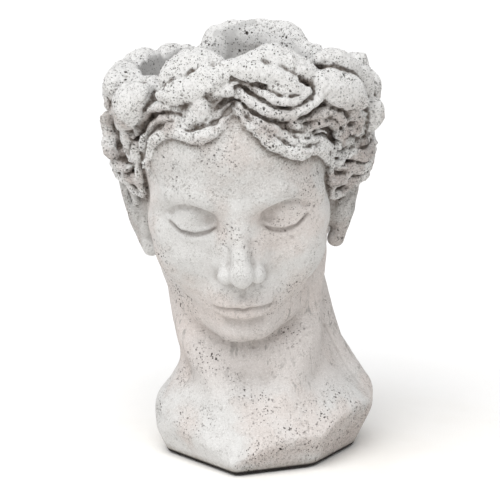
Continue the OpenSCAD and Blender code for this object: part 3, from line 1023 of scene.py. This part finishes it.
def stone_material():
    """Whitewash over grey cement: chalky patches, warm stains, dirt and painted shade in hollows, a
    painted highlight on the hair's tops, painted shade at the lash lines, lips and foot, air pores.
    """
    p = Paint("whitewashed_stone", (0.635, 0.63, 0.62), 0.92, 0.15)
    hair = p.attribute("hair")
    hollow = p.attribute("hollow")
    coarse = p.math("MAXIMUM", hair, p.times(p.attribute("rough"), 0.5))
    z = p.node("ShaderNodeSeparateXYZ", Vector=p.place).outputs["Z"]
    mottle = p.noise(38, 6, 0.65)
    fine = p.noise(620, 5, 0.85)
    whitewash(p, hair, hollow, mottle, z)
    wear_and_hollow_shade(p, hair, coarse, hollow, fine, z)
    dirt_and_painted_shade(p, coarse, hollow, mottle, z)
    spots = air_pores(p, coarse)
    p.coat(spots, (0.06, 0.052, 0.046))
    grain = p.times(fine, p.math("ADD", 0.45, p.times(coarse, 1.1)))
    height = p.math("ADD", grain, p.times(mottle, 0.4))
    height = p.math("SUBTRACT", height, p.times(spots, 0.8))
    return p.finish(height, 0.0011)


def rubber_material():
    p = Paint("black_rubber", (0.022, 0.022, 0.023), 0.62, 0.35)
    dust = p.ramp(p.noise(90, 4), 0.45, 0.75)
    p.coat(p.times(dust, 0.35), (0.16, 0.155, 0.15))
    return p.finish(p.noise(900, 3), 0.0002, p.ramp(dust, 0, 1, 0.55, 0.85))


def felt_material():
    p = Paint("pressed_felt", (0.20, 0.17, 0.14), 1.0, 0.1)
    p.shader.inputs["Sheen Weight"].default_value = 0.4
    fibres = p.noise(1500, 4, 0.7, stretch=(1, 1, 0.3))
    p.coat(p.ramp(fibres, 0.35, 0.65), (0.42, 0.37, 0.31))
    return p.finish(fibres, 0.0004)


def floor_material():
    """Near white paper, faintly cream where it comes forward."""
    p = Paint("paper_floor", (0.93, 0.93, 0.93), 0.9, 0.1)
    y = p.node("ShaderNodeSeparateXYZ", Vector=p.place).outputs["Y"]
    ragged = p.math("ADD", y, p.times(p.noise(6, 4), 0.25))
    blotch = p.ramp(p.noise(14, 4), 0.4, 0.7)
    cream = p.mix(blotch, (0.92, 0.905, 0.88), (0.89, 0.87, 0.835))
    p.coat(p.ramp(ragged, 0.42, 0.02), cream)
    return p.finish(p.noise(700, 3), 0.0002)


# ---- stopper and pads
def lathe(name, profile, segments, centre):
    """A closed solid turned from (radius, height) points that start and end on the axis."""
    profile = np.array(profile)
    inner = profile[1:-1]
    a = np.linspace(0, 2 * math.pi, segments, endpoint=False)
    rings = np.stack([
        np.outer(inner[:, 0], np.cos(a)), np.outer(inner[:, 0], np.sin(a)),
        np.repeat(inner[:, 1:], segments, 1)], 2)
    points = np.vstack([rings.reshape(-1, 3), [(0, 0, profile[0, 1]), (0, 0, profile[-1, 1])]])
    n, last = segments, len(inner) - 1
    around = [(j, (j + 1) % n) for j in range(n)]
    faces = [(i * n + j, i * n + k, (i + 1) * n + k, (i + 1) * n + j)
             for i in range(last) for j, k in around]
    faces += [(n * len(inner), k, j) for j, k in around]
    faces += [(n * len(inner) + 1, last * n + j, last * n + k) for j, k in around]
    mesh = bpy.data.meshes.new(name)
    mesh.from_pydata((points + centre) * UNIT, [], faces)
    mesh.shade_smooth()
    return linked(name, mesh)


def model_stopper():
    """The CAD stopper's shape with rounded edges, a ribbed shank and a pierced pull tab."""
    step = 0.3
    low = np.array(PLUG_LOW) / UNIT
    high = np.array(PLUG_HIGH) / UNIT
    clay = Clay(low - 1.5, high + 1.5, step)
    shank = DRAIN_R - 0.1
    flange = (high[0] - low[0]) / 2
    top = FLOOR_Z + 3
    part, (x, y, z) = clay.between(low - 2, high + 2)
    r = from_axis(x, y)

    def disc(radius, bottom, lid, rounding):
        return smooth_min(radius - r, np.minimum(z - bottom, lid - z), rounding) * -1

    rib = 0.35 * (0.5 + 0.5 * np.cos((z - FLOOR_Z) * 2 * math.pi / 3.2))
    lead = np.maximum(0, low[2] + 2.5 - z) * 0.8
    stem = disc(shank - rib - lead, low[2], FLOOR_Z + 1, 0.6)
    plate = disc(flange, FLOOR_Z, top, 1.2)
    clay.d[part] = smooth_min(stem, plate, 0.5).astype(np.float32)
    across, up = x - AXIS[0], z - (high[2] - 5)
    tab = np.maximum(np.hypot(across, np.maximum(up, 0)) - 5, np.abs(y - AXIS[1]) - 1.5)
    tab = np.maximum(tab, top - 1 - z + 0 * r)
    clay.d[part] = smooth_min(clay.d[part], tab.astype(np.float32), 1.2)
    clay.cut(bar([(AXIS[0], AXIS[1] - 4, high[2] - 4.5), (AXIS[0], AXIS[1] + 4, high[2] - 4.5)],
                 1.7), 0.5)
    points, faces = clay.mesh()
    return to_object("stopper_rubber", points, faces)


def model_pad(name):
    """A felt disc, a little soft at its rim."""
    low, high = (np.array(v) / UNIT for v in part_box(name))
    r, h = (high[0] - low[0]) / 2, high[2] - low[2]
    soft = h * 0.35
    curve = np.radians(np.linspace(0, 90, 5))
    profile = [(0, 0), (r * 0.5, 0)]
    profile += [(r - soft + soft * math.sin(a), soft - soft * math.cos(a)) for a in curve]
    profile += [(r - soft + soft * math.cos(a), h - soft + soft * math.sin(a)) for a in curve]
    profile += [(r * 0.5, h), (0, h)]
    centre = ((low[0] + high[0]) / 2, (low[1] + high[1]) / 2, low[2])
    piece = lathe(name.replace("pad", "disc"), profile, 72, centre)
    for v in piece.data.vertices:
        out = Vector((v.co.x / UNIT - centre[0], v.co.y / UNIT - centre[1], 0))
        if out.length > r * 0.8:
            v.co.x += out.x / out.length * rng.uniform(-0.12, 0.03) * UNIT
            v.co.y += out.y / out.length * rng.uniform(-0.12, 0.03) * UNIT
    return piece


# ---- the whole part
stone = model_cast_head()
stone.data.materials.append(stone_material())
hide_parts("cast_head")
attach(stone, "planter")

stopper = model_stopper()
stopper.data.materials.append(rubber_material())
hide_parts("drain_stopper")
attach(stopper, "stopper")

felt = felt_material()
for pad_name in PADS:
    pad = model_pad(pad_name)
    pad.data.materials.append(felt)
    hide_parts(pad_name)
    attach(pad, "planter")


# ---- floor, light and camera
def make_floor():
    bpy.ops.mesh.primitive_plane_add(size=16, location=(0, 0, 0))
    floor = bpy.context.object
    floor.name = "floor"
    floor.data.materials.append(floor_material())


def make_lights():
    """A broad soft sun from above, in front and a little left, in a white room."""
    sun = bpy.data.lights.new("soft_sun", "SUN")
    sun.energy = 2.5
    sun.angle = math.radians(60)
    lamp = linked("soft_sun", sun)
    lamp.rotation_euler = Vector((-0.28, -0.65, 1)).to_track_quat("Z", "Y").to_euler()
    world = bpy.data.worlds.new("white_room")
    world.use_nodes = True
    background = world.node_tree.nodes["Background"]
    background.inputs["Color"].default_value = (1, 1, 1, 1)
    background.inputs["Strength"].default_value = 0.60
    bpy.context.scene.world = world


def make_camera():
    """A long lens a little above the head, about 1.6 m from it."""
    camera = bpy.data.cameras.new("camera")
    camera.sensor_width = 36
    camera.lens = 164.6
    viewer = linked("camera", camera)
    viewer.location = (0, -1.566, 0.483)
    aim = Vector((0.006, 0, 0.1427))
    viewer.rotation_euler = (aim - viewer.location).to_track_quat("-Z", "Y").to_euler()
    bpy.context.scene.camera = viewer


make_floor()
make_lights()
make_camera()
bpy.context.scene.view_settings.view_transform = "Standard"
